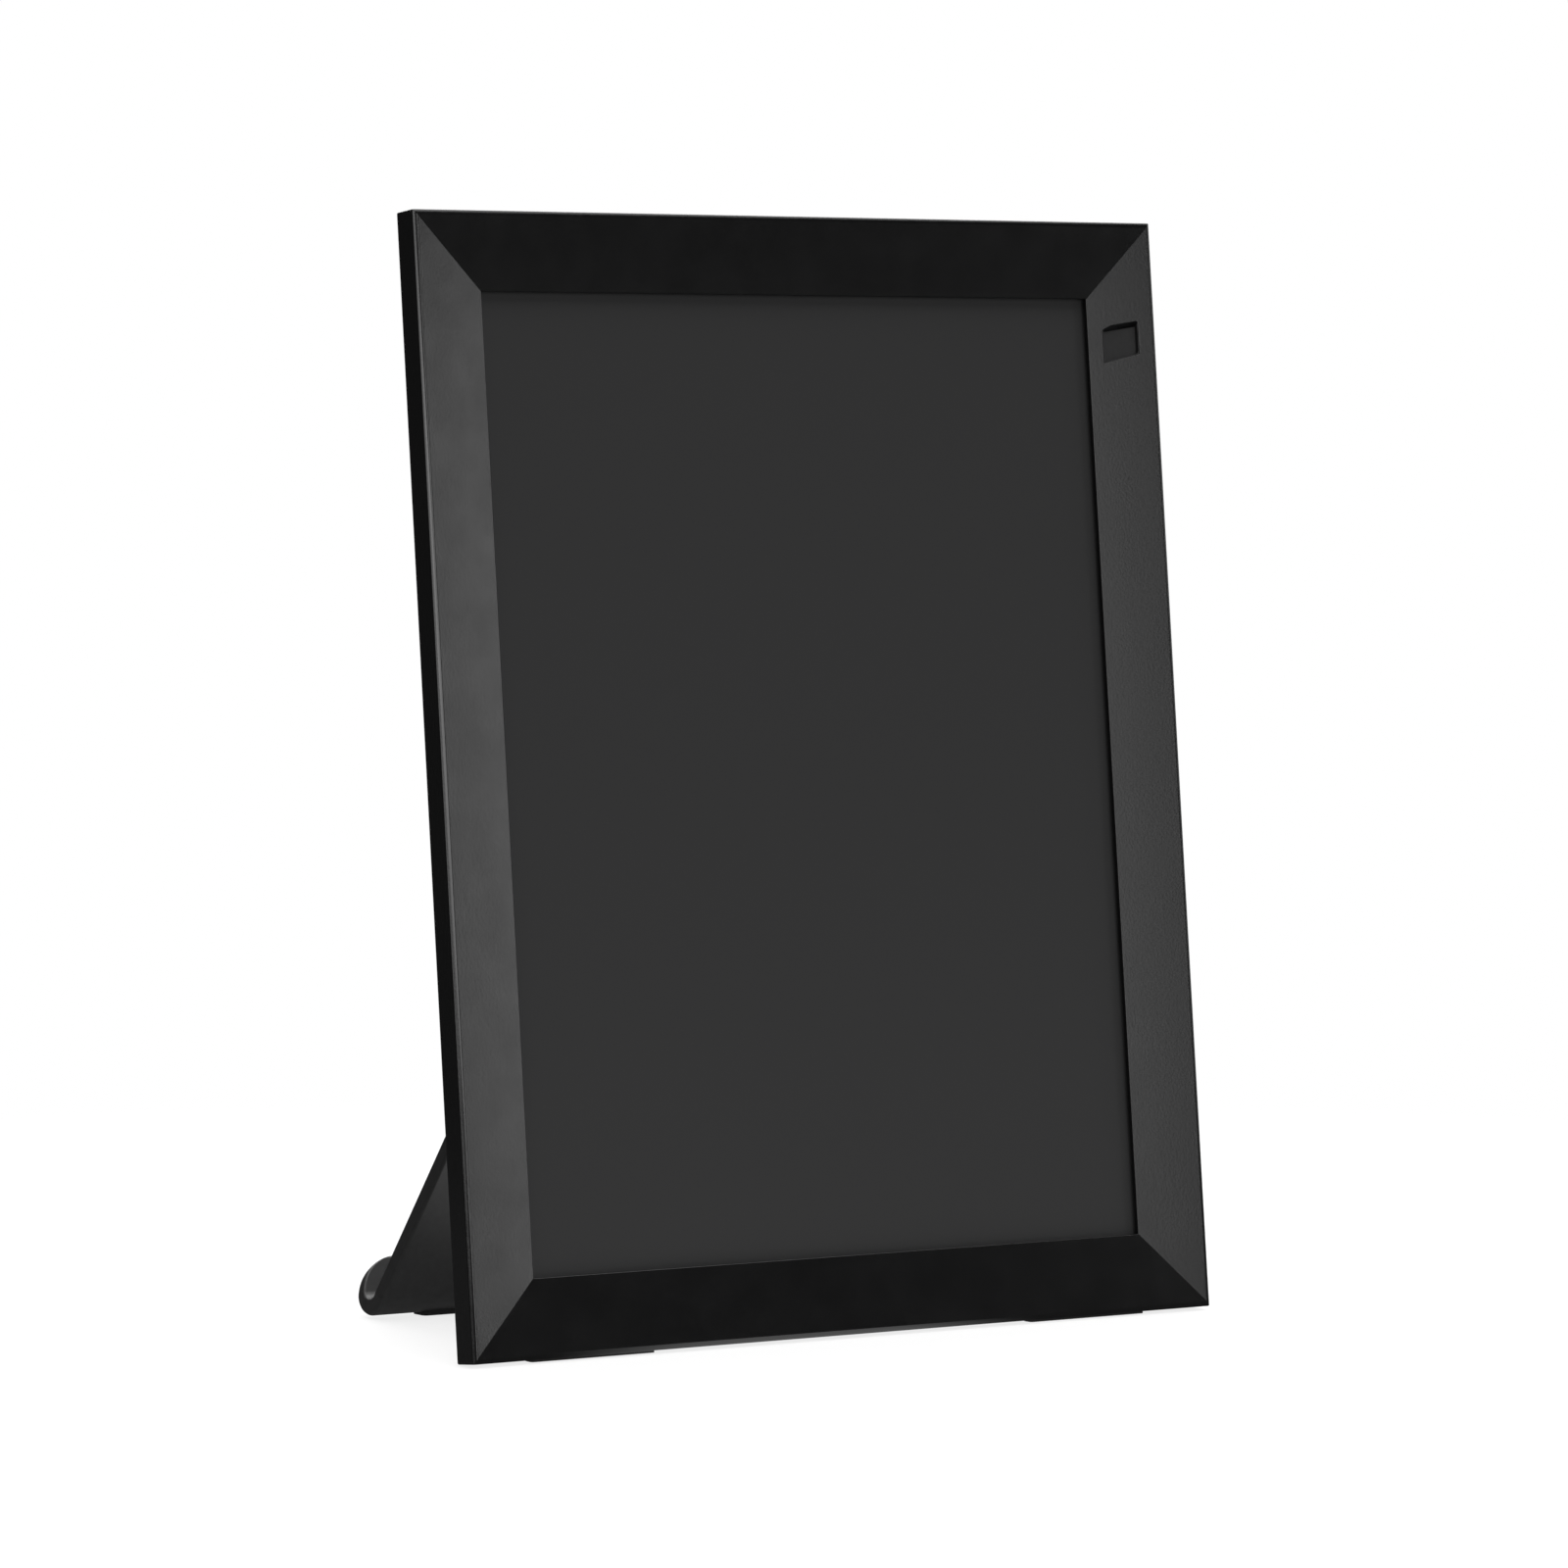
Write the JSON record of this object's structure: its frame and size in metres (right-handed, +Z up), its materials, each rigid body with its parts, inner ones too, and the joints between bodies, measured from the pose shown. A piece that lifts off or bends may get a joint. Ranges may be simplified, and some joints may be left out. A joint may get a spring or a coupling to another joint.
{
  "type": "digital photo frame",
  "caption": "Portrait digital photo frame with a mitred sloping black bezel, dark display, small motion sensor window, rear keys and a swivelling fold-out stand leg with a curled foot.",
  "frame": {"origin": "on the table, under the middle of the object's box", "axes": "+Z up, +X to the right as seen from the front, +Y towards the back, so the display faces -Y and leans back"},
  "size_m": [0.149, 0.0774, 0.1896],
  "materials": {
    "bezel_plastic": "satin black moulded plastic with a fine sparkle texture",
    "rear_plastic": "matte black moulded plastic with a fine spark-eroded texture",
    "key_plastic": "satin black moulded keys",
    "display_front": "anti-glare display front, switched off, even dark grey",
    "window_plastic": "infrared-clear matte black window",
    "diffuser_sheet": "white diffuser and light guide",
    "steel_sheet": "plain pressed steel sheet",
    "zinc_screw": "black zinc plated screws",
    "black_foam": "closed cell foam tape",
    "circuit_board": "green solder mask",
    "chip_resin": "black moulded resin",
    "flex_ribbon": "amber polyimide ribbon",
    "pad_rubber": "soft black rubber",
    "washer_nylon": "natural nylon"
  },
  "bodies": {
    "frame": {"front_bezel": "bezel_plastic", "rear_cover": "rear_plastic", "electronics_housing": "rear_plastic", "display_panel": "display_front", "sensor_window": "window_plastic", "backlight": "diffuser_sheet", "display_tray": "steel_sheet", "shield_can": "steel_sheet", "usb_port": "steel_sheet", "card_slot": "steel_sheet", "cover_screw_1": "zinc_screw", "cover_screw_2": "zinc_screw", "cover_screw_3": "zinc_screw", "cover_screw_4": "zinc_screw", "housing_screw_1": "zinc_screw", "housing_screw_2": "zinc_screw", "housing_screw_3": "zinc_screw", "housing_screw_4": "zinc_screw", "display_gasket": "black_foam", "main_board": "circuit_board", "button_board": "circuit_board", "sensor_board": "circuit_board", "wifi_antenna": "circuit_board", "processor": "chip_resin", "memory_chip": "chip_resin", "motion_sensor": "chip_resin", "dc_inlet": "chip_resin", "speaker_left": "chip_resin", "speaker_right": "chip_resin", "switch_power": "chip_resin", "switch_menu": "chip_resin", "switch_left": "chip_resin", "switch_right": "chip_resin", "switch_enter": "chip_resin", "switch_back": "chip_resin", "display_flex": "flex_ribbon", "edge_pad_left": "pad_rubber", "edge_pad_right": "pad_rubber"},
    "hub": {"stand_hub": "rear_plastic", "hub_washer": "steel_sheet", "hub_retainer": "steel_sheet", "hub_screw_1": "zinc_screw", "hub_screw_2": "zinc_screw", "hub_screw_3": "zinc_screw", "hinge_pin": "steel_sheet", "friction_washer_left": "washer_nylon", "friction_washer_right": "washer_nylon"},
    "leg": {"stand_leg": "bezel_plastic", "leg_foot_pad": "pad_rubber"},
    "key_power": {"button_power": "key_plastic"},
    "key_menu": {"button_menu": "key_plastic"},
    "key_left": {"button_left": "key_plastic"},
    "key_right": {"button_right": "key_plastic"},
    "key_enter": {"button_enter": "key_plastic"},
    "key_back": {"button_back": "key_plastic"}
  },
  "joints": [
    {"name": "stand_swivel", "type": "hinge", "parent": "frame", "child": "hub", "pos_m": [0, -0.00886, 0.07259], "axis": [0, 0.995, -0.1], "range_deg": [0, 90]},
    {"name": "leg_fold", "type": "hinge", "parent": "hub", "child": "leg", "pos_m": [0, -0.00483, 0.08173], "axis": [-1, 0, 0], "range_deg": [0, 28]},
    {"name": "press_power", "type": "slide", "parent": "frame", "child": "key_power", "axis": [0, -0.995, 0.1], "range_m": [0, 0.0006], "stiffness_N_per_m": 1500, "springref_m": -0.0004},
    {"name": "press_menu", "type": "slide", "parent": "frame", "child": "key_menu", "axis": [0, -0.995, 0.1], "range_m": [0, 0.0006], "stiffness_N_per_m": 1500, "springref_m": -0.0004},
    {"name": "press_left", "type": "slide", "parent": "frame", "child": "key_left", "axis": [0, -0.995, 0.1], "range_m": [0, 0.0006], "stiffness_N_per_m": 1500, "springref_m": -0.0004},
    {"name": "press_right", "type": "slide", "parent": "frame", "child": "key_right", "axis": [0, -0.995, 0.1], "range_m": [0, 0.0006], "stiffness_N_per_m": 1500, "springref_m": -0.0004},
    {"name": "press_enter", "type": "slide", "parent": "frame", "child": "key_enter", "axis": [0, -0.995, 0.1], "range_m": [0, 0.0006], "stiffness_N_per_m": 1500, "springref_m": -0.0004},
    {"name": "press_back", "type": "slide", "parent": "frame", "child": "key_back", "axis": [0, -0.995, 0.1], "range_m": [0, 0.0006], "stiffness_N_per_m": 1500, "springref_m": -0.0004}
  ]
}
